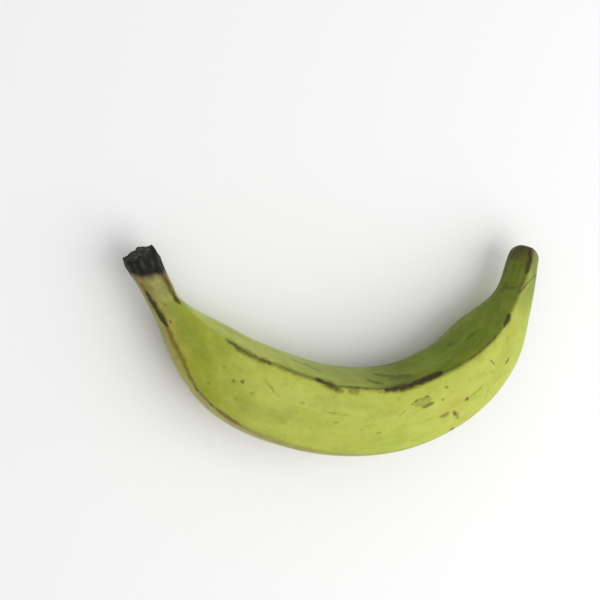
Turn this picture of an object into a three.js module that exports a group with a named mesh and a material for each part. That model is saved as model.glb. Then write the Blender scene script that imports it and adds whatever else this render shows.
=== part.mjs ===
// A single green plantain lying on its side.
// Millimetres, +Z up. The curve of the fruit lies flat on the ground plane and opens towards +Y.
// The stem end points to -X and the blossom end to +X.
import * as THREE from 'three';

// Stations along the middle line, from the cut stem to the blossom end:
// x, y and height of the middle line, the fruit's half thickness there, and the turn of its ridges.
const STATIONS = [
  { x: -108.6, y: 56.6, height: 15.5, half: 9.0, turn: -22 },
  { x: -100.1, y: 39.2, height: 16.0, half: 7.8, turn: -20 },
  { x: -93.1, y: 25.8, height: 17.0, half: 8.7, turn: -19 },
  { x: -74.4, y: 3.1, height: 18.0, half: 18.1, turn: -10 },
  { x: -52.6, y: -15.3, height: 22.5, half: 23.0, turn: -18 },
  { x: -13.8, y: -31.5, height: 23.1, half: 23.4, turn: -18 },
  { x: 25.5, y: -35.5, height: 22.5, half: 22.8, turn: -17 },
  { x: 61.5, y: -25.5, height: 20.9, half: 21.4, turn: -12 },
  { x: 87.0, y: -5.0, height: 18.9, half: 19.0, turn: -1 },
  { x: 102.9, y: 16.3, height: 17.5, half: 10.8, turn: 1 },
  { x: 109.6, y: 39.3, height: 17.5, half: 8.2, turn: 22 },
];

// The five long faces of the section. 0 looks into the curve, 90 looks up.
const FACE_ANGLES = [24, 113, 197, 285, 340];
const FACE_BULGE = 1.8; // radius of a face's bow, in half thicknesses
const RIDGE_CRISPNESS = 26; // a higher number gives sharper ridges

const CUT_CROWN = 2.0; // how far the dried middle of the cut stem stands above its edge
const BLOSSOM_CAP = 7.5; // height of the rounded blossom end
const BLOSSOM_SCAR = 2.6; // half width of the flat scar in its middle

const CUT_RINGS = [0.4, 0.75, 0.93]; // rings of points on the cut face, as shares of its half width
const RINGS = 64; // spaces between the rings along the fruit
const CAP_RINGS = 6;
const POINTS_PER_FACE = 9;
const DIRECTION_STEP = 0.002; // share of the fruit's length over which its direction is measured

const PEEL_COLOUR = 0xa9b44e;
const PEEL_ROUGHNESS = 0.55;

const radians = THREE.MathUtils.degToRad;

// Smooth value between the stations; along runs from 0 at the stem to 1 at the blossom end.
function between(key, along) {
  const last = STATIONS.length - 1;
  const place = Math.min(Math.max(along, 0), 1) * last;
  const i = Math.min(Math.floor(place), last - 1);
  const w = place - i;
  const a = STATIONS[i][key];
  const b = STATIONS[i + 1][key];
  const slopeA = i > 0 ? (b - STATIONS[i - 1][key]) / 2 : b - a;
  const slopeB = i < last - 1 ? (STATIONS[i + 2][key] - a) / 2 : b - a;
  const w2 = w * w;
  const w3 = w2 * w;
  return (
    (2 * w3 - 3 * w2 + 1) * a + (w3 - 2 * w2 + w) * slopeA
    + (3 * w2 - 2 * w3) * b + (w3 - w2) * slopeB
  );
}

// Distance from the middle line to the skin, in half thicknesses, at an angle of the section.
function sectionReach(angle) {
  const offset = FACE_BULGE - 1;
  let sum = 0;
  for (const face of FACE_ANGLES) {
    const c = Math.cos(radians(angle - face));
    const reach = -offset * c + Math.sqrt(offset * offset * c * c + 2 * FACE_BULGE - 1);
    sum += reach ** -RIDGE_CRISPNESS;
  }
  return sum ** (-1 / RIDGE_CRISPNESS);
}

// Angles of the section's points, with one on each ridge and the rest spread evenly over the faces.
function sectionAngles() {
  const angles = [];
  const count = FACE_ANGLES.length;
  for (let i = 0; i < count; i += 1) {
    const before = FACE_ANGLES[(i + count - 1) % count] - (i === 0 ? 360 : 0);
    const after = FACE_ANGLES[(i + 1) % count] + (i === count - 1 ? 360 : 0);
    const from = (before + FACE_ANGLES[i]) / 2;
    const to = (FACE_ANGLES[i] + after) / 2;
    for (let k = 0; k < POINTS_PER_FACE; k += 1) {
      angles.push(from + ((to - from) * k) / POINTS_PER_FACE);
    }
  }
  return angles;
}

const SECTION = sectionAngles();
const ROUND = SECTION.length;

// Middle point, forward direction and inward direction of the curve at one place.
function frameAt(along) {
  const a = Math.max(along - DIRECTION_STEP, 0);
  const b = Math.min(along + DIRECTION_STEP, 1);
  const middle = new THREE.Vector3(between('x', along), between('y', along), between('height', along));
  const forward = new THREE.Vector3();
  forward.x = between('x', b) - between('x', a);
  forward.y = between('y', b) - between('y', a);
  forward.normalize();
  const inward = new THREE.Vector3(-forward.y, forward.x, 0);
  return { middle, forward, inward };
}

// Adds one ring of skin points. grow scales it and push moves it along the fruit, in mm.
function ring(points, along, grow = 1, push = 0) {
  const { middle, forward, inward } = frameAt(along);
  const half = between('half', along);
  const turn = between('turn', along);
  for (const sectionAngle of SECTION) {
    const reach = sectionReach(sectionAngle) * half * grow;
    const angle = radians(sectionAngle + turn);
    const p = middle.clone();
    p.addScaledVector(inward, reach * Math.cos(angle));
    p.z += reach * Math.sin(angle);
    p.addScaledVector(forward, push);
    points.push(p);
  }
}

function fruitPoints() {
  const points = [];
  const stem = frameAt(0);
  const blossom = frameAt(1);
  const scarGrow = BLOSSOM_SCAR / between('half', 1);

  // low crown of the cut stem
  points.push(stem.middle.clone().addScaledVector(stem.forward, -CUT_CROWN));
  for (const grow of CUT_RINGS) {
    ring(points, 0, grow, -CUT_CROWN * (1 - grow * grow));
  }

  for (let i = 0; i <= RINGS; i += 1) {
    ring(points, i / RINGS);
  }

  // rounded blossom end, flat where the flower was
  const scarLean = Math.acos(scarGrow);
  for (let i = 1; i <= CAP_RINGS; i += 1) {
    const lean = (scarLean * i) / CAP_RINGS;
    ring(points, 1, Math.cos(lean), BLOSSOM_CAP * Math.sin(lean));
  }
  const scarHeight = BLOSSOM_CAP * Math.sin(scarLean);
  points.push(blossom.middle.clone().addScaledVector(blossom.forward, scarHeight));
  return points;
}

function fruitGeometry() {
  const points = fruitPoints();
  // the underside is pressed flat where the fruit rests
  for (const p of points) {
    p.z = Math.max(p.z, 0);
  }

  const ringCount = (points.length - 2) / ROUND;
  const end = points.length - 1;
  const faces = [];
  for (let j = 0; j < ROUND; j += 1) {
    const next = (j + 1) % ROUND;
    faces.push(0, 1 + next, 1 + j);
    for (let i = 0; i < ringCount - 1; i += 1) {
      const a = 1 + i * ROUND + j;
      const b = 1 + i * ROUND + next;
      const c = a + ROUND;
      const d = b + ROUND;
      faces.push(a, b, d, a, d, c);
    }
    const lastRing = 1 + (ringCount - 1) * ROUND;
    faces.push(lastRing + j, lastRing + next, end);
  }

  const geometry = new THREE.BufferGeometry();
  const coordinates = points.flatMap((p) => p.toArray());
  geometry.setAttribute('position', new THREE.Float32BufferAttribute(coordinates, 3));
  geometry.setIndex(faces);

  // the origin is on the ground, under the middle of the fruit's length and width
  geometry.computeBoundingBox();
  const middle = geometry.boundingBox.getCenter(new THREE.Vector3());
  geometry.translate(-middle.x, -middle.y, 0);
  geometry.computeVertexNormals();
  return geometry;
}

const peel = new THREE.MeshStandardMaterial({
  color: PEEL_COLOUR,
  roughness: PEEL_ROUGHNESS,
  metalness: 0,
});
const plantain = new THREE.Mesh(fruitGeometry(), peel);
plantain.name = 'plantain';

const part = new THREE.Group();
part.name = 'green_plantain';
part.add(plantain);

export default part;
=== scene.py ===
"""A green plantain lying on its side: ridged waxy peel, scars, black cut stem, dry blossom end."""
import math

import bpy
import numpy as np
from mathutils import Matrix, Vector, noise


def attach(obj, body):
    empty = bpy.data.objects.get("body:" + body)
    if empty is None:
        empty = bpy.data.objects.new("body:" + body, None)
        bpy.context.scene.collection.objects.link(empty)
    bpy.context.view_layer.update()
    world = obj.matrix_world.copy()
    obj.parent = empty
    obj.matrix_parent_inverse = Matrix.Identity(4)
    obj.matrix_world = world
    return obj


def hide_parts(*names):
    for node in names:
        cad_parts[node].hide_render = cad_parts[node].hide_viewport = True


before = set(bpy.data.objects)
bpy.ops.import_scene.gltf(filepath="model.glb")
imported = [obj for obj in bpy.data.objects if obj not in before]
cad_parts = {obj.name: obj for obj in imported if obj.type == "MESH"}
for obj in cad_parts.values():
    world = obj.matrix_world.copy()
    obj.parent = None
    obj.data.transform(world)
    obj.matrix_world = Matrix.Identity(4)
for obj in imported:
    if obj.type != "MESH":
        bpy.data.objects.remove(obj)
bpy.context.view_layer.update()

MM = 0.001

# Middle line of the fruit from the cut stem to the blossom end, in mm and degrees:
# x, y, height above the ground, half thickness, turn of the ridges.
STATIONS = np.array([
    (-108.6, 56.6, 15.5, 9.0, -22),
    (-100.1, 39.2, 16.0, 7.8, -20),
    (-93.1, 25.8, 17.0, 8.7, -19),
    (-74.4, 3.1, 18.0, 18.1, -10),
    (-52.6, -15.3, 22.5, 23.0, -18),
    (-13.8, -31.5, 23.1, 23.4, -18),
    (25.5, -35.5, 22.5, 22.8, -17),
    (61.5, -25.5, 20.9, 21.4, -12),
    (87.0, -5.0, 18.9, 19.0, -1),
    (102.9, 16.3, 17.5, 10.8, 1),
    (109.6, 39.3, 17.5, 8.2, 22),
])

# The five long faces of the section. 0 looks into the curve, 90 looks up.
FACE_ANGLES = (24, 113, 197, 285, 340)
FACE_BULGE = 1.8  # radius of each bowed face, in half thicknesses
RIDGE_CRISPNESS = 26  # more makes the ridges between the faces sharper

CUT_CROWN = 2.0  # how far the dried middle of the cut stem stands above its edge
CUT_RIM = 0.8  # where the cut face starts to turn into its rim, as a share of its half width
BLOSSOM_CAP = 7.5  # height of the rounded blossom end
SCAR_SHARE = 0.35  # half width of the sunken blossom scar, as a share of the end's half width
SCAR_DEPTH = 0.35

# Rings of points along the fruit, in mm: close together on the neck and the blossom end.
CUT_RINGS = 17
CUT_EDGE = 0.95  # the last ring on the cut face, as a share of its half width
FIRST_RING = 0.3
NECK = 30
NECK_SPACING = 0.5
BODY_SPACING = 0.9
TIP = 26
TIP_SPACING = 0.55
CAP_RINGS = 13
ON_CUT = 0.1  # a ring nearer to the stem's end than this is on the cut face

# Points round each ring, and the widths of the faces in mm.
POINTS_PER_FACE = 40
ROUND = POINTS_PER_FACE * len(FACE_ANGLES)
FACE_BOW = 1.05  # a bowed face's width against an arc's round the middle line
FACE_BLEND = 1.2  # how far a face's colour runs past its ridge
TYPICAL_FACE = 25  # width of a face where the fruit is middling thick

LENGTH_SAMPLES = 2001
DIRECTION_STEP = 0.002  # share of the fruit's length over which its direction is measured


# ---------------------------------------------------------------- shape of the fruit

def between(along):
    """Station values at places along the fruit, 0 at the stem and 1 at the blossom end."""
    last = len(STATIONS) - 1
    place = np.clip(along, 0, 1) * last
    i = np.minimum(place.astype(int), last - 1)
    w = (place - i)[:, None]
    a = STATIONS[i]
    b = STATIONS[i + 1]
    before = STATIONS[np.maximum(i - 1, 0)]
    after = STATIONS[np.minimum(i + 2, last)]
    slope_a = np.where((i > 0)[:, None], (b - before) / 2, b - a)
    slope_b = np.where((i < last - 1)[:, None], (after - a) / 2, b - a)
    return ((2 * w**3 - 3 * w**2 + 1) * a + (w**3 - 2 * w**2 + w) * slope_a
            + (3 * w**2 - 2 * w**3) * b + (w**3 - w**2) * slope_b)


def forward_direction(along):
    """Direction of the middle line on the ground, with length 1."""
    ahead = between(np.minimum(along + DIRECTION_STEP, 1))[:, :2]
    behind = between(np.maximum(along - DIRECTION_STEP, 0))[:, :2]
    way = ahead - behind
    return way / np.linalg.norm(way, axis=1)[:, None]


def section_reach(angle):
    """Distance from the middle line to the skin, in half thicknesses."""
    offset = FACE_BULGE - 1
    total = 0
    for face in FACE_ANGLES:
        c = np.cos(np.radians(angle - face))
        reach = -offset * c + np.sqrt(offset**2 * c**2 + 2 * FACE_BULGE - 1)
        total = total + reach**-RIDGE_CRISPNESS
    return total ** (-1 / RIDGE_CRISPNESS)


def section_angles():
    """Angles of the points round the section: one on each ridge, the rest even over the faces."""
    count = len(FACE_ANGLES)
    angles = []
    for i in range(count):
        before = FACE_ANGLES[i - 1] - (360 if i == 0 else 0)
        after = FACE_ANGLES[(i + 1) % count] + (360 if i == count - 1 else 0)
        start = (before + FACE_ANGLES[i]) / 2
        end = (FACE_ANGLES[i] + after) / 2
        angles.extend(start + (end - start) * k / POINTS_PER_FACE for k in range(POINTS_PER_FACE))
    return np.array(angles)


def length_table():
    """Places along the fruit and the length of the middle line up to each, in mm."""
    along = np.linspace(0, 1, LENGTH_SAMPLES)
    middle = between(along)[:, :3]
    pieces = np.linalg.norm(np.diff(middle, axis=0), axis=1)
    return along, np.concatenate([[0], np.cumsum(pieces)])


ALONG, LENGTH = length_table()
FRUIT_LENGTH = LENGTH[-1]
CUT_HALF = STATIONS[0, 3]
BLOSSOM_HALF = STATIONS[-1, 3]


def rows_of_rings():
    """The rings of skin points from the middle of the cut face to the middle of the blossom scar.

    Each is mm along the fruit, growth of the section, push along the fruit in mm, mm along the skin."""
    rows = []
    for grow in np.linspace(0, CUT_EDGE, CUT_RINGS):
        push = -CUT_CROWN * (1 - grow**2)
        rows.append((0, grow, push, grow * CUT_HALF))
    lengths = np.concatenate([
        np.arange(FIRST_RING, NECK, NECK_SPACING),
        np.arange(NECK, FRUIT_LENGTH - TIP, BODY_SPACING),
        np.arange(FRUIT_LENGTH - TIP, FRUIT_LENGTH, TIP_SPACING),
    ])
    for length in lengths:
        rows.append((length, 1, 0, CUT_HALF + length))
    for lean in np.radians(np.linspace(0, 90, CAP_RINGS)):
        grow = math.cos(lean)
        sink = SCAR_DEPTH * max(0, 1 - grow / SCAR_SHARE) ** 0.5
        skin = CUT_HALF + FRUIT_LENGTH + BLOSSOM_HALF * (1 - grow)
        rows.append((FRUIT_LENGTH, grow, BLOSSOM_CAP * math.sin(lean) - sink, skin))
    return np.array(rows)


RINGS = rows_of_rings()
SECTION = section_angles()


def smooth(low, high, value):
    """Rises smoothly from 0 to 1 as the value goes from low to high."""
    t = np.clip((value - low) / (high - low), 0, 1)
    return t * t * (3 - 2 * t)


SEED_STEPS = (17.3, 5.1, 9.7)  # how far apart in the noise two seeds are


def rough(points, size, seed):
    """Even noise from -1 to 1 at points in mm, with bumps of about the given size in mm."""
    offset = Vector([step * seed for step in SEED_STEPS])
    return np.array([noise.noise(Vector(p) / size + offset) for p in points])


# Unevenness: size of the bumps in mm, their squeeze along the fruit, seed, height in mm.
# A squeeze under 1 draws the bumps out along the fruit.
SWELLS = (26, 0.35, 1, 0.45)
DENTS = (9, 0.6, 2, 0.14)
FOLDS = (3.2, 0.12, 3, 1.0)
LUMPS = (4.6, 1, 4, 0.9)
FIBRES = (1.7, 0.3, 5, 0.2)
CRATERS = (3.4, 1, 7, 1.2)
PITS = (1.5, 1, 8, 0.45)
WANDER_ALONG = (4.0, 1, 21, 1.1)
WANDER_ACROSS = (3.4, 1, 22, 0.6)

FOLDED_NECK = (14, 42)  # mm from the cut over which the neck's folds fade
DEAD_STUMP = (7, 13)  # mm from the cut over which the dead stump turns into live skin
FOLDED_TIP = (26, 8)  # mm from the end over which the tip's folds come up
NECK_FOLD = 0.35
TIP_FOLD = 0.15
SCAR_SINK = 0.2
RIM_ROUNDING = 0.7
RIM_LENGTH = 1.2
CUT_SHRINK = 0.5


def bumps(points, kind):
    """Unevenness of one of the kinds above, in mm."""
    size, squeeze, seed, height = kind
    return rough(points * (squeeze, 1, 1), size, seed) * height


def peel_sheet():
    """The peel as a flat sheet of squares, with the map that lays it out flat."""
    bpy.ops.object.select_all(action="DESELECT")
    bpy.ops.mesh.primitive_grid_add(x_subdivisions=len(RINGS) - 1, y_subdivisions=ROUND, size=1)
    sheet = bpy.context.object
    sheet.name = "plantain_fruit"
    sheet.data.name = "plantain_fruit"
    sheet.data.uv_layers[0].name = "OFBake"
    return sheet


def rows_and_columns(mesh):
    """Row and column of each point of the flat sheet: its ring, and its place round the section."""
    flat = np.empty(len(mesh.vertices) * 3)
    mesh.vertices.foreach_get("co", flat)
    flat = flat.reshape(-1, 3)
    row = np.rint((flat[:, 0] + 0.5) * (len(RINGS) - 1)).astype(int)
    column = np.rint((flat[:, 1] + 0.5) * ROUND).astype(int)
    return row, column


def lay_out_map(mesh, along, around):
    """Sets the map by each point's share of the way along the skin and round the section."""
    loop_vertex = np.empty(len(mesh.loops), dtype=int)
    mesh.loops.foreach_get("vertex_index", loop_vertex)
    laid = np.stack([along, around], axis=1)
    mesh.uv_layers["OFBake"].data.foreach_set("uv", laid[loop_vertex].ravel())


def set_places(mesh, along, push, angle, reach):
    """Moves each point of the sheet to its place on the fruit, with no point below the ground."""
    station = between(along)
    forward = forward_direction(along)
    inward = np.stack([-forward[:, 1], forward[:, 0]], axis=1)
    place = np.empty((len(along), 3))
    place[:, :2] = station[:, :2] + inward * (reach * np.cos(angle))[:, None] + forward * push[:, None]
    place[:, 2] = np.maximum(station[:, 2] + reach * np.sin(angle), 0)
    centre = (place[:, :2].max(axis=0) + place[:, :2].min(axis=0)) / 2
    place[:, :2] -= centre
    mesh.vertices.foreach_set("co", (place * MM).ravel())


def roll_up(sheet):
    """Rolls the flat sheet round the middle line, with its unevenness, its marks and its map."""
    mesh = sheet.data
    row, column = rows_and_columns(mesh)
    length, grow, push, skin = RINGS[row].T
    along = np.interp(length, LENGTH, ALONG)
    half, turn = between(along)[:, 3:].T
    section = SECTION[column % ROUND]
    angle = np.radians(section + turn)
    reach = section_reach(section) * half * grow

    straight = np.stack([length + push, reach * np.cos(angle), reach * np.sin(angle)], axis=1)
    face = column / POINTS_PER_FACE
    which = np.minimum(face.astype(int), len(FACE_ANGLES) - 1)
    width = face_width(half * grow)[which, np.arange(len(face))]
    marks = mark_strengths(straight, skin - CUT_HALF, face, width)
    out, lift = skin_detail(straight, length, grow, marks["dark_scar"])
    set_places(mesh, along, push + lift, angle, reach + out)
    lay_out_map(mesh, skin / RINGS[-1, 3], column / ROUND)

    store_on_skin(mesh, straight, {
        "from_stem": length,
        "from_blossom": RINGS[-1, 3] - skin,
        "cut_face": 1 - smooth(CUT_RIM, 1, np.where(length < ON_CUT, grow, 1)),
        "ridge_gap": np.minimum(face % 1, 1 - face % 1) * width,
        "across_top": smooth(1.0, 2.0, face) * (1 - smooth(4.0, 5.0, face)),
        "inner_face": face_share(face, 4.0, 6.0, width),
        "outer_face": face_share(face, 2.0, 4.0, width),
        **marks,
    })
    mesh.update()


def faces_on(face, other):
    """How many faces one place round the section is on from another, by the shorter way."""
    count = len(FACE_ANGLES)
    return (face - other + count / 2) % count - count / 2


def face_share(face, start, end, width):
    """1 on the faces between two ridges and 0 on the others, with a soft step at each ridge."""
    gap = np.abs(faces_on(face, (start + end) / 2)) - (end - start) / 2
    return 1 - smooth(-FACE_BLEND, FACE_BLEND, gap * width)


def face_width(half):
    """Width in mm of each of the five faces, for the given half thicknesses."""
    edges = np.append(SECTION[::POINTS_PER_FACE], SECTION[0] + 360)
    return np.radians(np.diff(edges))[:, None] * half * FACE_BOW


LONG_MARK = 2  # a mark at least this long, in mm, narrows towards its ends
TINY = 1e-9  # keeps a mark that is a single spot from dividing by nothing


def stroke(length, face, width, path, reach, depth):
    """Strength of a drawn mark at each point: depth on its path, and 0 at reach mm to either side.

    The path is a list of (mm from the stem, face), where 1.5 is the middle of the second face.
    A long mark narrows towards its two ends."""
    best = np.zeros_like(length)
    points = path if len(path) > 1 else path * 2
    pairs = list(zip(points, points[1:]))
    spans = [abs(l1 - l0) + TYPICAL_FACE * abs(f1 - f0) for (l0, f0), (l1, f1) in pairs]
    done = 0
    for ((l0, f0), (l1, f1)), span in zip(pairs, spans):
        across = faces_on(face, f0) * width
        drift = (f1 - f0) * width
        size = (l1 - l0) ** 2 + drift**2 + TINY
        t = np.clip(((length - l0) * (l1 - l0) + across * drift) / size, 0, 1)
        gap = np.hypot(length - l0 - t * (l1 - l0), across - t * drift)
        way = (done + t * span) / (sum(spans) + TINY)
        narrow = 1 if sum(spans) < LONG_MARK else 0.5 + 0.5 * np.sqrt(np.sin(np.pi * way).clip(0, 1))
        best = np.maximum(best, depth * (1 - gap / (reach * narrow)))
        done += span
    return best


# Dry dark scars: path, half width in mm, depth of colour.
DARK_SCARS = [
    # second ridge, on the neck, then fading along the shoulder
    ([(17, 2.1), (22, 2.07), (28, 2.02), (36, 1.97)], 2.9, 1.15),
    ([(27, 2.02), (35, 1.97)], 2.9, 1.3),
    ([(67, 2.03), (70, 2.04)], 1.8, 0.8),
    ([(77, 2.03), (79, 2.04)], 1.8, 0.85),
    ([(85, 2.04), (90, 2.05)], 1.5, 0.5),
    # first ridge, on the neck
    ([(10, 1.1), (20, 1.08), (26, 1.04)], 2.2, 0.72),
    ([(24, 1.05), (32, 1.01)], 1.9, 0.85),
    # first ridge, along the fruit
    ([(62, 0.95), (70, 0.97), (80, 0.985), (88, 0.985)], 3.2, 0.64),
    ([(118, 0.955), (123, 0.97)], 2.5, 1.3),
    ([(122, 0.97), (127, 0.995), (133, 1.02)], 3.2, 0.76),
    ([(133, 0.98), (148, 0.955), (167, 0.965)], 1.9, 0.56),
    ([(166, 0.99), (177, 0.98), (189, 0.96)], 3.6, 1.05),
    ([(185, 0.96), (195, 0.94), (206, 0.93)], 3.3, 1.3),
    ([(228, 0.96), (240, 0.97), (254, 0.99)], 1.3, 0.62),
    ([(256, 1.02), (264, 1.01)], 2.3, 1.05),
    # blossom end
    ([(289, 0.95), (295, 0.9), (303, 0.85)], 3.0, 0.95),
    ([(290, 1.8), (287, 1.31), (283, 1.1), (278, 0.99)], 1.0, 0.75),
    ([(294, 1.78)], 1.6, 0.8),
    ([(289, 1.84)], 1.8, 0.9),
    # second face
    ([(180, 1.26), (185, 1.21), (192, 1.2)], 1.5, 0.55),
    ([(186, 1.34), (194, 1.32)], 1.8, 0.64),
    ([(212, 1.54), (214, 1.53)], 2.2, 0.9),
    ([(214, 1.53), (226, 1.5)], 0.9, 0.5),
    ([(245, 1.53), (241, 1.54)], 1.6, 0.65),
    ([(201, 1.96), (207, 2.14)], 2.0, 1.1),
    ([(204, 1.62), (204.5, 1.7)], 1.7, 0.6),
    ([(253, 1.16), (250, 1.27)], 0.9, 0.5),
    ([(236, 1.21), (236, 1.33)], 1.0, 0.6),
    ([(232, 1.38), (232, 1.46)], 0.9, 0.5),
    ([(226, 1.65), (221, 1.83)], 0.9, 0.55),
    ([(76, 1.47)], 1.9, 0.62),
    ([(79.5, 1.4)], 1.9, 0.64),
    ([(159, 1.64), (161, 1.62)], 1.3, 0.55),
    ([(199, 1.34), (201, 1.33)], 1.4, 0.5),
    ([(204, 1.17), (205, 1.18)], 1.3, 0.55),
]

# Brown scuffs, green on the face inside the curve.
BROWN_SCUFFS = [
    ([(12, 2.12), (22, 2.08)], 2.6, 1.0),
    ([(35, 1.98), (44, 1.98), (53, 1.94), (63, 1.98)], 2.4, 1.1),
    ([(60, 2.0), (82, 2.03)], 2.0, 0.9),
    ([(81, 2.03), (92, 2.05)], 2.7, 1.5),
    ([(91, 2.06), (126, 2.12)], 2.2, 0.72),
    ([(9, 1.12), (31, 1.03)], 3.0, 1.1),
    ([(60, 0.94), (76, 0.97), (88, 0.98)], 4.4, 0.65),
    ([(82, 0.98), (99, 0.99), (117, 0.99)], 3.2, 0.95),
    ([(117, 0.97), (126, 1.0), (136, 1.04)], 4.8, 0.85),
    ([(140, 1.03), (147, 1.03)], 3.0, 0.85),
    ([(160, 1.02), (190, 1.03)], 2.2, 0.7),
    ([(206, 0.95), (228, 0.97)], 1.7, 0.7),
    ([(225, 0.98), (256, 1.0)], 1.8, 0.62),
    ([(263, 1.01), (279, 0.99), (291, 0.95)], 2.4, 0.7),
    ([(277, 0.97), (285, 0.98)], 3.0, 0.85),
    ([(88, 1.23), (94, 1.31), (100, 1.39)], 1.3, 0.6),
    ([(171, 1.42), (176, 1.33)], 1.2, 0.6),
    ([(183, 1.28), (192, 1.25)], 4.0, 0.62),
    ([(196, 1.61), (201, 1.6)], 2.4, 1.0),
    ([(204, 1.6), (205.5, 1.8)], 2.6, 0.9),
    ([(113, 1.35), (115, 1.35)], 1.8, 0.75),
    ([(123, 1.66)], 1.4, 0.7),
    ([(128, 1.38), (143, 1.36)], 1.8, 0.5),
    ([(135, 1.51), (137, 1.5)], 1.4, 0.7),
    ([(151, 1.58)], 1.5, 0.7),
    ([(68, 1.39)], 1.7, 0.65),
    ([(69, 1.77)], 1.6, 0.7),
    ([(86, 1.51), (88, 1.48)], 1.7, 0.7),
    ([(82, 1.68)], 1.5, 0.7),
    ([(25, 1.65), (28, 1.56)], 1.2, 0.7),
    ([(104, 0.6), (125, 0.68)], 1.8, 0.75),
    ([(155, 0.72), (160, 0.8), (165, 0.86)], 2.2, 0.95),
    ([(163, 0.52), (170, 0.62), (178, 0.69)], 3.0, 1.2),
    ([(171, 0.73), (180, 0.77)], 2.0, 0.9),
    ([(177, 0.69), (187, 0.74)], 3.0, 1.15),
    ([(225, 0.36), (230, 0.4)], 4.2, 0.7),
    ([(237, 0.58), (242, 0.55)], 3.4, 0.7),
    ([(279, 0.1), (279, 0.5), (281, 0.86)], 1.6, 0.85),
]

# Wide soft tints of the peel.
YELLOW_TINTS = [
    ([(24, 1.85), (45, 1.88), (62, 1.9)], 6.0, 1.0),
    ([(196, 1.6), (215, 1.5)], 12.0, 0.9),
    ([(130, 1.7), (160, 1.8)], 9.0, 0.6),
    ([(242, 1.3), (262, 1.3)], 6.0, 0.8),
    ([(60, 2.6), (120, 2.5)], 12.0, 1.0),
    ([(150, 3.4), (210, 3.5)], 12.0, 0.9),
    ([(70, 4.5), (110, 4.5)], 9.0, 0.8),
]
GREEN_TINTS_AND_SHADE = [
    # darker olive on the top face near the stem and in its middle: partly greener skin, partly painted
    # shade of its shallow hollows
    ([(38, 1.35), (50, 1.45), (60, 1.5)], 8.0, 1.0),
    ([(84, 1.68), (108, 1.7)], 8.0, 0.9),
    ([(120, 1.2), (158, 1.22)], 5.0, 0.6),
    ([(50, 0.55), (95, 0.45)], 3.0, 0.7),
    ([(110, 0.3), (150, 0.25)], 5.0, 0.7),
    ([(170, 2.5), (250, 2.6)], 12.0, 0.8),
    ([(60, 3.5), (130, 3.4)], 12.0, 0.8),
    ([(215, 4.5), (270, 4.5)], 8.0, 0.9),
]

# Marks on the hidden side. Lengths are in mm.
HIDDEN_SEED = 11
HIDDEN_RIDGES = ((3.0, 280), (4.0, 280), (5.0, 190))  # the ridge, and where its marks stop
RIDGE_MARK_SIZES = (5, 24)
RIDGE_MARK_GAPS = (4, 34)
HIDDEN_SPOTS = 46
SPOT_SIZES = (0.5, 1, 2, 5, 9)
DARK_SHARE = 0.4  # share of the small spots that are dark


def hidden_scars():
    """Scars and scuffs of the same kinds on the three faces and ridges that are turned away."""
    chance = np.random.default_rng(HIDDEN_SEED)
    dark = []
    brown = []
    for ridge, last in HIDDEN_RIDGES:
        place = chance.uniform(18, 40)
        while place < last:
            size = chance.uniform(*RIDGE_MARK_SIZES)
            wander = chance.uniform(-0.04, 0.04)
            path = [(place, ridge), (place + size * 0.5, ridge + wander), (place + size, ridge)]
            if chance.random() < 0.5:
                dark.append((path, chance.uniform(1.4, 2.8), chance.uniform(0.8, 1.2)))
            else:
                brown.append((path, chance.uniform(1.6, 2.6), chance.uniform(0.8, 1.1)))
            place += size + chance.uniform(*RIDGE_MARK_GAPS)
    for _ in range(HIDDEN_SPOTS):
        start = (chance.uniform(35, 285), chance.uniform(2.2, 5.0))
        slant = chance.uniform(-3.1, 3.1)
        size = chance.choice(SPOT_SIZES)
        end = (start[0] + size * math.cos(slant), start[1] + size * math.sin(slant) / TYPICAL_FACE)
        kept = dark if chance.random() < DARK_SHARE else brown
        kept.append(([start, end], chance.uniform(1.0, 2.2), chance.uniform(0.5, 0.85)))
    return dark, brown


def strongest(length, face, width, marks):
    """Strength at each point of the strongest of the marks."""
    total = np.zeros_like(length)
    for path, reach, depth in marks:
        total = np.maximum(total, stroke(length, face, width, path, reach, depth))
    return total


def mark_strengths(straight, length, face, width):
    """Strength of each kind of mark at each point, with edges that wander a little."""
    dark, brown = hidden_scars()
    length = length + bumps(straight, WANDER_ALONG)
    face = face + bumps(straight, WANDER_ACROSS) / np.maximum(width, 1)
    return {
        "dark_scar": strongest(length, face, width, DARK_SCARS + dark),
        "brown_scuff": strongest(length, face, width, BROWN_SCUFFS + brown),
        "yellow_tint": strongest(length, face, width, YELLOW_TINTS),
        "green_tint_and_shade": strongest(length, face, width, GREEN_TINTS_AND_SHADE),
    }


# Torn fibres that stand up on the rim of the cut stem: angle, height in mm, half width in mm.
TORN_FIBRES = [(40, 3.2, 2.0), (95, 1.0, 1.6), (150, 1.3, 2.4), (205, 1.6, 2.2), (290, 1.2, 2.0)]
TORN_INWARD = 2.2  # mm from the rim towards the middle of the cut over which they fade
TORN_ALONG = 3.0  # mm from the rim along the stem over which they fade


def torn_rim(straight, length, grow):
    """How far the torn fibres stand up at each point, in mm."""
    lift = np.zeros_like(length)
    near = np.exp(-(((1 - grow) * CUT_HALF / TORN_INWARD) ** 2)) * np.exp(-((length / TORN_ALONG) ** 2))
    for angle, height, reach in TORN_FIBRES:
        across = CUT_HALF * math.cos(math.radians(angle))
        above = CUT_HALF * math.sin(math.radians(angle))
        gap = np.hypot(straight[:, 1] - across, straight[:, 2] - above)
        lift = lift + height * near * np.exp(-((gap / reach) ** 2))
    return lift


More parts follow.
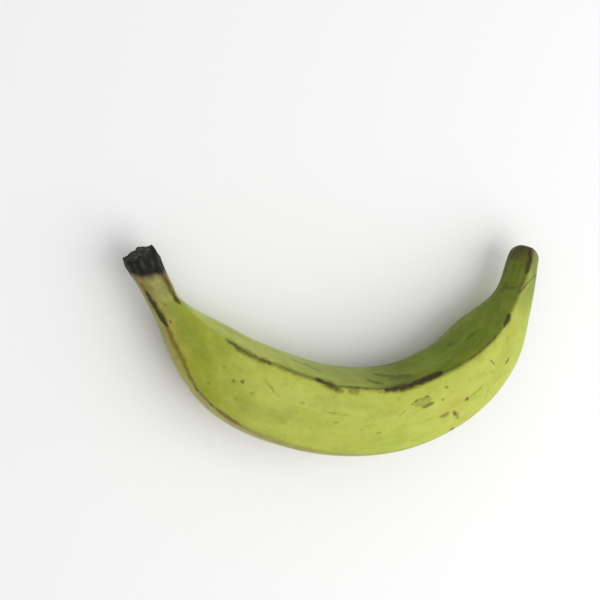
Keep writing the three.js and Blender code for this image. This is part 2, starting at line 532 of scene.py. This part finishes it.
def skin_detail(straight, length, grow, dark):
    """Small unevenness of the real skin, in mm: outwards, and forwards along the fruit."""
    neck = 1 - smooth(*FOLDED_NECK, length)
    stump = 1 - smooth(*DEAD_STUMP, length)
    tip = smooth(FRUIT_LENGTH - FOLDED_TIP[0], FRUIT_LENGTH - FOLDED_TIP[1], length)
    on_cut = length < ON_CUT
    folds = bumps(straight, FOLDS)
    out = bumps(straight, SWELLS) * (1 - stump) + bumps(straight, DENTS)
    out = out + neck * folds * NECK_FOLD + tip * folds * TIP_FOLD
    out = out + stump * (bumps(straight, LUMPS) + bumps(straight, FIBRES))
    out = out - SCAR_SINK * np.clip(dark, 0, 1)
    out = out - RIM_ROUNDING * np.exp(-length / RIM_LENGTH) * ~on_cut - CUT_SHRINK * on_cut
    face = (1 - smooth(CUT_RIM, 1, grow)) * on_cut
    crater = bumps(straight, CRATERS) + bumps(straight, PITS)
    return out * grow, face * crater - torn_rim(straight, length, grow)


def store_on_skin(mesh, straight, values):
    """Values that the peel's material reads at each point of the skin."""
    kept = mesh.attributes.new("straight", "FLOAT_VECTOR", "POINT")
    kept.data.foreach_set("vector", (straight * MM).ravel())
    for name, value in values.items():
        kept = mesh.attributes.new(name, "FLOAT", "POINT")
        kept.data.foreach_set("value", value)


def close_up(fruit):
    """Joins the sheet's long edges and closes both ends."""
    bpy.ops.object.select_all(action="DESELECT")
    fruit.select_set(True)
    bpy.context.view_layer.objects.active = fruit
    bpy.ops.object.mode_set(mode="EDIT")
    bpy.ops.mesh.select_all(action="SELECT")
    bpy.ops.mesh.remove_doubles(threshold=1e-6)
    bpy.ops.mesh.dissolve_degenerate(threshold=1e-7)
    bpy.ops.mesh.normals_make_consistent(inside=False)
    bpy.ops.object.mode_set(mode="OBJECT")
    bpy.ops.object.shade_smooth()


# ---------------------------------------------------------------- the peel's colours

def srgb(red, green, blue):
    """A colour given in steps from 0 to 255, as the shaders' own values."""
    channels = []
    for value in (red, green, blue):
        value = value / 255
        channels.append(value / 12.92 if value <= 0.04045 else ((value + 0.055) / 1.055) ** 2.4)
    return (*channels, 1.0)


# Colours of the faces along the fruit: share of its length from the stem, colour.
TOP_FACES = [
    (0.0, srgb(124, 120, 74)),
    (0.09, srgb(138, 138, 62)),
    (0.15, srgb(146, 155, 38)),
    (0.21, srgb(156, 165, 46)),
    (0.29, srgb(176, 183, 74)),
    (0.5, srgb(173, 185, 72)),
    (0.68, srgb(182, 190, 76)),
    (0.82, srgb(186, 192, 78)),
    (0.9, srgb(170, 180, 72)),
    (0.95, srgb(126, 139, 50)),
    (1.0, srgb(104, 108, 48)),
]
# The face inside the curve: its dark far half, from about 0.6 on, is partly greener skin and partly
# painted shade.
INNER_FACES_AND_SHADE = [
    (0.0, srgb(108, 106, 50)),
    (0.08, srgb(122, 128, 50)),
    (0.14, srgb(168, 181, 86)),
    (0.28, srgb(172, 181, 84)),
    (0.4, srgb(150, 160, 70)),
    (0.52, srgb(128, 141, 56)),
    (0.62, srgb(90, 104, 14)),
    (0.72, srgb(92, 110, 4)),
    (0.88, srgb(93, 109, 12)),
    (0.95, srgb(78, 93, 6)),
    (1.0, srgb(64, 72, 6)),
]
OUTER_FACES = [
    (0.0, srgb(120, 116, 70)),
    (0.1, srgb(138, 132, 80)),
    (0.2, srgb(160, 154, 84)),
    (0.3, srgb(158, 152, 78)),
    (0.42, srgb(152, 152, 62)),
    (0.6, srgb(158, 168, 50)),
    (0.9, srgb(148, 160, 54)),
    (1.0, srgb(108, 112, 48)),
]

# Colours of the dead stump, from its hollows to its fibres.
STUMP_BARK = [
    (0.35, srgb(12, 11, 10)),
    (0.52, srgb(28, 28, 26)),
    (0.64, srgb(54, 54, 50)),
    (0.8, srgb(92, 88, 78)),
]
CUT_PITH = [
    (0.4, srgb(26, 25, 23)),
    (0.52, srgb(50, 48, 44)),
    (0.62, srgb(84, 80, 70)),
    (0.75, srgb(118, 112, 96)),
]

YELLOW_CLOUD = srgb(188, 184, 66)
GREEN_CLOUD = srgb(132, 152, 40)
OLIVE_BLOTCH = srgb(130, 136, 40)
PALE_BLOTCH = srgb(198, 206, 102)
PALE_STREAK = srgb(205, 210, 120)
DARK_GRAIN = srgb(104, 116, 30)
RIPE_YELLOW = srgb(182, 166, 62)
DEEP_GREEN = srgb(112, 128, 36)
CREAM_NECK = srgb(158, 150, 88)
TAN_NECK = srgb(130, 122, 62)
WAX_BLOOM = srgb(182, 192, 130)
WORN_RIDGE = srgb(148, 140, 66)
OLIVE_SPECK = srgb(98, 96, 30)
BROWN_SPECK = srgb(92, 78, 30)
GREEN_STIPPLE = srgb(64, 80, 22)
TOP_SCUFF = srgb(108, 90, 10)
INNER_SCUFF = srgb(70, 78, 14)
OUTER_SCUFF = srgb(114, 80, 2)
SCAR_BORDER = srgb(98, 90, 30)
FAINT_SCAR = srgb(84, 78, 18)
BLACK_SCAR = srgb(22, 20, 8)
GREY_SCAR = srgb(66, 62, 34)
SCORCHED_NECK = srgb(74, 58, 36)
DARK_TIP = srgb(36, 30, 18)
TAN_TIP = srgb(88, 78, 46)
SHEEN_GREEN = (0.8, 0.9, 0.45, 1)


# ---------------------------------------------------------------- the peel's material

# A mix node has sockets of the same name for numbers and for colours, so these are taken by place.
MIX_FACTOR = 0
MIX_FIRST = 6
MIX_SECOND = 7
MIX_RESULT = 2


class Nodes:
    """Short names for adding and joining the nodes of one tree. Sizes are in metres."""

    def __init__(self, tree):
        self.tree = tree

    def add(self, kind, settings=None, **inputs):
        """A new node; an underscore in an input's name stands for a space."""
        made = self.tree.nodes.new(kind)
        for name, value in (settings or {}).items():
            setattr(made, name, value)
        for name, value in inputs.items():
            self.put(made.inputs[name.replace("_", " ")], value)
        return made

    def put(self, socket, value):
        """Joins another node's output to a socket, or sets the socket's own value."""
        if isinstance(value, bpy.types.NodeSocket):
            self.tree.links.new(value, socket)
        else:
            socket.default_value = value

    def attribute(self, name, output="Fac"):
        """A value kept at each point of the skin."""
        return self.add("ShaderNodeAttribute", {"attribute_name": name}).outputs[output]

    def math(self, operation, *values):
        """The result of a sum, product or comparison of numbers and outputs."""
        made = self.add("ShaderNodeMath", {"operation": operation})
        for socket, value in zip(made.inputs, values):
            self.put(socket, value)
        return made.outputs[0]

    def times(self, first, second):
        return self.math("MULTIPLY", first, second)

    def opposite(self, value):
        """0 where the value is 1, and 1 where it is 0."""
        return self.math("SUBTRACT", 1.0, value)

    def total(self, parts):
        """Sum of the parts, each a value and its weight."""
        result = 0.0
        for value, weight in parts:
            result = self.math("ADD", result, self.times(value, weight))
        return result

    def stretch(self, vector, along, across=1.0):
        """Places for a pattern; along under 1 draws it out along the fruit."""
        made = self.add("ShaderNodeVectorMath", {"operation": "MULTIPLY"})
        self.put(made.inputs[0], vector)
        made.inputs[1].default_value = (along, across, across)
        return made.outputs[0]

    def noise(self, vector, size, detail=3.0, roughness=0.5, along=1.0, across=1.0):
        """Cloudy noise from 0 to 1 with bumps of the given size."""
        return self.add("ShaderNodeTexNoise", Vector=self.stretch(vector, along, across), Scale=1 / size,
                        Detail=detail, Roughness=roughness).outputs["Fac"]

    def step(self, value, low, high):
        """Rises smoothly from 0 to 1 as the value goes from low to high."""
        made = self.add("ShaderNodeMapRange", {"interpolation_type": "SMOOTHSTEP"}, Value=value)
        self.put(made.inputs["From Min"], low)
        self.put(made.inputs["From Max"], high)
        return made.outputs["Result"]

    def mix(self, factor, first, second):
        """The first colour where the factor is 0, and the second where it is 1."""
        made = self.add("ShaderNodeMix", {"data_type": "RGBA"})
        for socket, value in ((MIX_FACTOR, factor), (MIX_FIRST, first), (MIX_SECOND, second)):
            self.put(made.inputs[socket], value)
        return made.outputs[MIX_RESULT]

    def tint(self, colour, shade, mask, amount):
        """The colour, brought towards a shade by the mask times the amount."""
        return self.mix(self.times(mask, amount), colour, shade)

    def ramp(self, value, stops):
        """A colour that runs through the stops as the value goes from 0 to 1."""
        made = self.add("ShaderNodeValToRGB", Fac=value)
        elements = made.color_ramp.elements
        while len(elements) < len(stops):
            elements.new(1.0)
        for element, (place, colour) in zip(elements, stops):
            element.position = place
            element.color = colour
        return made.outputs["Color"]


def group(name, inputs):
    """A new group with named inputs and one output, Mask."""
    tree = bpy.data.node_groups.new(name, "ShaderNodeTree")
    for socket, kind, value in inputs:
        made = tree.interface.new_socket(name=socket, in_out="INPUT", socket_type=kind)
        if value is not None:
            made.default_value = value
    tree.interface.new_socket(name="Mask", in_out="OUTPUT", socket_type="NodeSocketFloat")
    nodes = Nodes(tree)
    return tree, nodes, nodes.add("NodeGroupInput").outputs, nodes.add("NodeGroupOutput").inputs["Mask"]


def ragged_mark_group():
    """Turns the soft strength of a mark into a patch with a crumbled edge."""
    tree, nodes, given, mask = group("ragged_mark", [
        ("Strength", "NodeSocketFloat", 0.0),
        ("Position", "NodeSocketVector", None),
        ("Crumble", "NodeSocketFloat", 0.5),
        ("Softness", "NodeSocketFloat", 0.1),
    ])
    coarse = nodes.noise(given["Position"], 0.002, detail=6, roughness=0.72, along=0.6)
    shift = nodes.times(nodes.math("SUBTRACT", coarse, 0.5), given["Crumble"])
    shift = nodes.times(shift, nodes.step(given["Strength"], 0.0, 0.5))
    low = nodes.math("SUBTRACT", 0.5, given["Softness"])
    high = nodes.math("ADD", 0.5, given["Softness"])
    nodes.put(mask, nodes.step(nodes.math("ADD", given["Strength"], shift), low, high))
    return tree


def specks_group():
    """Scattered specks: their size is a share of their spacing, and a share of the places has one."""
    tree, nodes, given, mask = group("specks", [
        ("Position", "NodeSocketVector", None),
        ("Spacing", "NodeSocketFloat", 0.005),
        ("Size", "NodeSocketFloat", 0.15),
        ("Share", "NodeSocketFloat", 0.3),
    ])
    scale = nodes.math("DIVIDE", 1.0, given["Spacing"])
    cells = nodes.add("ShaderNodeTexVoronoi", Vector=given["Position"], Scale=scale)
    near = nodes.opposite(nodes.math("DIVIDE", cells.outputs["Distance"], given["Size"]))
    chosen = nodes.add("ShaderNodeSeparateColor", Color=cells.outputs["Color"]).outputs["Red"]
    kept = nodes.math("LESS_THAN", chosen, given["Share"])
    nodes.put(mask, nodes.times(nodes.step(near, 0.0, 0.6), kept))
    return tree


class Skin:
    """Places, patterns and masks of the peel that its colour, gloss and relief share."""

    def __init__(self, nodes):
        self.find_places(nodes)
        self.make_patterns(nodes)
        self.make_specks(nodes)
        self.make_marks(nodes)
        self.make_ends(nodes)

    def find_places(self, nodes):
        """Where a point is on the fruit, and on which of its faces."""
        self.spot = nodes.attribute("straight", "Vector")
        self.side = nodes.add("ShaderNodeSeparateXYZ", Vector=self.spot).outputs["Y"]
        self.place = nodes.math("DIVIDE", nodes.attribute("from_stem"), FRUIT_LENGTH)
        self.inner = nodes.attribute("inner_face")
        self.outer = nodes.attribute("outer_face")
        self.cut = nodes.attribute("cut_face")
        # The far half of the face inside the curve carries painted shade as well as greener skin; pale
        # blotches and wax bloom are held back there.
        dark_half = nodes.times(self.inner, nodes.step(self.place, 0.35, 0.6))
        self.pale = nodes.opposite(nodes.times(dark_half, 0.8))

    def make_patterns(self, nodes):
        """Natural unevenness of the skin, from wide clouds to fine grain."""
        self.cloud = nodes.noise(self.spot, 0.02, detail=4, roughness=0.55, along=0.45)
        self.blotch = nodes.noise(self.spot, 0.0065, detail=4, roughness=0.6, along=0.7)
        self.streak = nodes.noise(self.spot, 0.0016, detail=3, roughness=0.6, along=0.06)
        self.grain = nodes.noise(self.spot, 0.0008, detail=4, roughness=0.7)
        self.bloom = nodes.noise(self.spot, 0.012, detail=5, roughness=0.65, along=0.5, across=1.2)
        self.edge = nodes.noise(self.spot, 0.006, detail=4, roughness=0.6, along=0.3)
        self.fibre = nodes.noise(self.spot, 0.0026, detail=5, roughness=0.68, along=0.45)
        self.pith = nodes.noise(self.spot, 0.0028, detail=5, roughness=0.7)

    def make_specks(self, nodes):
        """Small specks, large specks, and dark stipple in patches on the face inside the curve."""
        tree = specks_group()

        def specks(along, spacing, size, share):
            spot = nodes.stretch(self.spot, along)
            return nodes.add("ShaderNodeGroup", {"node_tree": tree}, Position=spot, Spacing=spacing,
                             Size=size, Share=share).outputs["Mask"]

        self.small_specks = specks(0.7, spacing=0.0055, size=0.09, share=0.35)
        self.large_specks = specks(0.5, spacing=0.017, size=0.06, share=0.3)
        patch = nodes.step(nodes.noise(self.spot, 0.013, along=0.35), 0.44, 0.6)
        stipple = nodes.times(specks(0.6, spacing=0.0027, size=0.2, share=0.4), patch)
        self.stipple = nodes.times(stipple, self.inner)

    def make_marks(self, nodes):
        """Brown scuffs, and dry scars with a border."""
        tree = ragged_mark_group()

        def ragged(strength, crumble, softness):
            return nodes.add("ShaderNodeGroup", {"node_tree": tree}, Strength=strength, Position=self.spot,
                             Crumble=crumble, Softness=softness).outputs["Mask"]

        self.strength = nodes.attribute("dark_scar")
        self.scuff = ragged(nodes.attribute("brown_scuff"), crumble=1.3, softness=0.45)
        self.border = ragged(nodes.times(self.strength, 1.4), crumble=1.3, softness=0.45)
        self.scar = ragged(self.strength, crumble=1.6, softness=0.42)

    def make_ends(self, nodes):
        """The dead stump, the skin next to it, and the dry blossom end.

        Their edges slant, by some mm for each metre across the fruit, and wander a little."""
        from_stem = nodes.math("SUBTRACT", nodes.attribute("from_stem"), nodes.times(self.side, 380.0))
        wander = nodes.times(nodes.math("SUBTRACT", self.edge, 0.5), 8.0)
        from_stem = nodes.math("ADD", from_stem, wander)
        self.neck = nodes.opposite(nodes.step(from_stem, 12.0, 30.0))
        self.scorch = nodes.opposite(nodes.step(from_stem, 9.5, 15.5))
        self.stump = nodes.opposite(nodes.step(from_stem, 8.5, 12.0))
        from_tip = nodes.math("SUBTRACT", nodes.attribute("from_blossom"), nodes.times(self.side, 350.0))
        from_tip = nodes.math("ADD", from_tip, nodes.times(self.edge, -7.0))
        self.tip = nodes.opposite(nodes.step(from_tip, 0.0, 5.5))
        self.dry = nodes.math("MAXIMUM", nodes.math("MAXIMUM", self.scar, self.stump), self.tip)


def face_colours(nodes, skin):
    """Colour of the top, inner and outer faces along the fruit, with painted shade on the far half of the
    inner face.
    """
    ahead = nodes.times(nodes.math("SUBTRACT", 0.5, nodes.attribute("across_top")), 0.08)
    ahead = nodes.times(ahead, nodes.step(skin.place, 0.6, 0.3))
    top = nodes.ramp(nodes.math("ADD", skin.place, ahead), TOP_FACES)
    colour = nodes.mix(skin.outer, top, nodes.ramp(skin.place, OUTER_FACES))
    return nodes.mix(skin.inner, colour, nodes.ramp(skin.place, INNER_FACES_AND_SHADE))


def cloudy(nodes, skin, colour):
    """Wax-dulled skin: yellower and greener clouds, blotches, long streaks and fine grain."""
    colour = nodes.tint(colour, YELLOW_CLOUD, nodes.step(skin.cloud, 0.5, 0.72), 0.28)
    colour = nodes.tint(colour, GREEN_CLOUD, nodes.step(skin.cloud, 0.5, 0.3), 0.28)
    colour = nodes.tint(colour, OLIVE_BLOTCH, nodes.step(skin.blotch, 0.5, 0.68), 0.26)
    light = nodes.times(nodes.step(skin.blotch, 0.5, 0.32), skin.pale)
    colour = nodes.tint(colour, PALE_BLOTCH, light, 0.24)
    colour = nodes.tint(colour, PALE_STREAK, nodes.step(skin.streak, 0.35, 0.75), 0.09)
    return nodes.tint(colour, DARK_GRAIN, nodes.step(skin.grain, 0.55, 0.3), 0.14)


def tinted(nodes, skin, colour):
    """Wide yellow and green tints, with painted shade in part of the green, the tan neck, pale wax in
    patches, and the worn ridges.
    """
    for name, shade in (("yellow_tint", RIPE_YELLOW), ("green_tint_and_shade", DEEP_GREEN)):
        colour = nodes.tint(colour, shade, nodes.step(nodes.attribute(name), 0.0, 1.0), 0.32)
    neck_colour = nodes.mix(nodes.step(skin.blotch, 0.38, 0.62), CREAM_NECK, TAN_NECK)
    colour = nodes.tint(colour, neck_colour, skin.neck, 0.75)
    bloom = nodes.times(nodes.step(skin.bloom, 0.54, 0.74), skin.pale)
    colour = nodes.tint(colour, WAX_BLOOM, bloom, 0.18)
    worn = nodes.opposite(nodes.step(nodes.attribute("ridge_gap"), 0.1, 1.4))
    worn = nodes.times(worn, nodes.step(nodes.noise(skin.spot, 0.006), 0.35, 0.6))
    return nodes.tint(colour, WORN_RIDGE, worn, 0.3)


def speckled(nodes, skin, colour):
    """Small and large specks, and stipple."""
    colour = nodes.tint(colour, OLIVE_SPECK, skin.small_specks, 0.55)
    colour = nodes.tint(colour, BROWN_SPECK, skin.large_specks, 0.7)
    return nodes.tint(colour, GREEN_STIPPLE, skin.stipple, 0.45)


def scarred(nodes, skin, colour):
    """Scuffs in the colour of their face, and scars that are darker where they are stronger."""
    scuff_colour = nodes.mix(skin.inner, TOP_SCUFF, INNER_SCUFF)
    scuff_colour = nodes.mix(skin.outer, scuff_colour, OUTER_SCUFF)
    colour = nodes.tint(colour, scuff_colour, skin.scuff, 0.7)
    colour = nodes.tint(colour, SCAR_BORDER, skin.border, 0.55)
    crust = nodes.noise(skin.spot, 0.0016, detail=4, roughness=0.6)
    scar_colour = nodes.mix(crust, BLACK_SCAR, GREY_SCAR)
    scar_colour = nodes.mix(nodes.step(skin.strength, 0.4, 0.85), FAINT_SCAR, scar_colour)
    return nodes.tint(colour, scar_colour, skin.scar, 0.88)


def dead_ends(nodes, skin, colour):
    """The black stump with torn grey fibres in its cut, and the dry blossom end."""
    stump_colour = nodes.mix(skin.cut, nodes.ramp(skin.fibre, STUMP_BARK), nodes.ramp(skin.pith, CUT_PITH))
    colour = nodes.tint(colour, SCORCHED_NECK, skin.scorch, 0.7)
    colour = nodes.mix(skin.stump, colour, stump_colour)
    return nodes.tint(colour, nodes.mix(skin.pith, DARK_TIP, TAN_TIP), skin.tip, 0.85)


def set_gloss(nodes, skin, shader):
    """Uneven dull wax, duller still where the skin is dry, with a faint green sheen."""
    gloss = nodes.add("ShaderNodeMapRange", Value=nodes.noise(skin.spot, 0.009, detail=4, roughness=0.6))
    gloss.inputs["To Min"].default_value = 0.44
    gloss.inputs["To Max"].default_value = 0.64
    nodes.put(shader.inputs["Roughness"],
              nodes.math("MAXIMUM", gloss.outputs["Result"], nodes.times(skin.dry, 0.85)))
    shader.inputs["Specular IOR Level"].default_value = 0.25
    shader.inputs["Sheen Weight"].default_value = 0.14
    shader.inputs["Sheen Roughness"].default_value = 0.35
    shader.inputs["Sheen Tint"].default_value = SHEEN_GREEN


def set_relief(nodes, skin, shader):
    """Fine streaks and grain, sunken specks and scars, and the crust of the dry parts."""
    crust = nodes.times(skin.dry, nodes.mix(skin.cut, skin.fibre, skin.pith))
    relief = nodes.total([
        (skin.streak, 0.25),
        (skin.grain, 0.12),
        (skin.small_specks, -0.3),
        (skin.scar, -0.35),
        (crust, 1.2),
    ])
    bump = nodes.add("ShaderNodeBump", Height=relief, Strength=0.6, Distance=0.0006)
    nodes.put(shader.inputs["Normal"], bump.outputs["Normal"])


def peel_material():
    """The peel's colour, gloss and relief."""
    material = bpy.data.materials.new("peel")
    material.use_nodes = True
    nodes = Nodes(material.node_tree)
    shader = material.node_tree.nodes["Principled BSDF"]
    skin = Skin(nodes)
    colour = face_colours(nodes, skin)
    for layer in (cloudy, tinted, speckled, scarred, dead_ends):
        colour = layer(nodes, skin, colour)
    nodes.put(shader.inputs["Base Color"], colour)
    set_gloss(nodes, skin, shader)
    set_relief(nodes, skin, shader)
    return material


# ---------------------------------------------------------------- room, light and camera

FLOOR_SIZE = 4
FLOOR_WHITE = (0.9, 0.9, 0.9, 1)
FLOOR_ROUGHNESS = 0.8
SKY_WHITE = (1, 1, 1, 1)
SKY_STRENGTH = 0.58

# Soft lights: name, place and size in metres, power in watts.
LIGHTS = [
    ("key", (0.75, -0.35, 0.9), 1.5, 12),
    ("fill", (-0.5, 0.5, 1.1), 1.5, 2.0),
]

# The eye looks down on the fruit, a little from the stem's side and from inside the curve.
LENS = 110
SENSOR = 36
AIM = (-0.0250, 0.0259, 0.022)
DISTANCE = 0.9533
TO_THE_STEM = 22
TO_THE_INSIDE = 12


def floor():
    """A wide pale floor."""
    bpy.ops.object.select_all(action="DESELECT")
    bpy.ops.mesh.primitive_plane_add(size=FLOOR_SIZE)
    ground = bpy.context.object
    ground.name = "floor"
    material = bpy.data.materials.new("pale_floor")
    material.use_nodes = True
    shader = material.node_tree.nodes["Principled BSDF"]
    shader.inputs["Base Color"].default_value = FLOOR_WHITE
    shader.inputs["Roughness"].default_value = FLOOR_ROUGHNESS
    ground.data.materials.append(material)


def soft_light(name, place, size, power):
    """A square light that points at the fruit."""
    data = bpy.data.lights.new(name, "AREA")
    data.size = size
    data.energy = power
    lamp = bpy.data.objects.new(name, data)
    bpy.context.collection.objects.link(lamp)
    lamp.location = place
    lamp.rotation_euler = (-Vector(place)).to_track_quat("-Z", "Y").to_euler()


def lighting():
    """An even white sky with a soft key light and a weak fill."""
    world = bpy.data.worlds.new("white_room")
    bpy.context.scene.world = world
    world.use_nodes = True
    background = world.node_tree.nodes["Background"]
    background.inputs["Color"].default_value = SKY_WHITE
    background.inputs["Strength"].default_value = SKY_STRENGTH
    for light in LIGHTS:
        soft_light(*light)
    bpy.context.scene.view_settings.view_transform = "Standard"


def camera():
    """The eye, aimed at the middle of the fruit with the inside of the curve upwards."""
    data = bpy.data.cameras.new("camera")
    data.lens = LENS
    data.sensor_width = SENSOR
    eye = bpy.data.objects.new("camera", data)
    bpy.context.collection.objects.link(eye)
    lean = math.radians(TO_THE_STEM)
    nod = math.radians(TO_THE_INSIDE)
    back = Vector((-math.sin(lean) * math.cos(nod), math.sin(nod), math.cos(lean) * math.cos(nod)))
    up = (Vector((0, 1, 0)) - back * back.y).normalized()
    right = up.cross(back)
    eye.location = Vector(AIM) + back * DISTANCE
    eye.rotation_euler = Matrix((right, up, back)).transposed().to_euler()
    bpy.context.scene.camera = eye


# ---------------------------------------------------------------- put together

fruit = peel_sheet()
roll_up(fruit)
close_up(fruit)
fruit.data.materials.append(peel_material())
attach(fruit, "root")
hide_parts("plantain")

floor()
lighting()
camera()
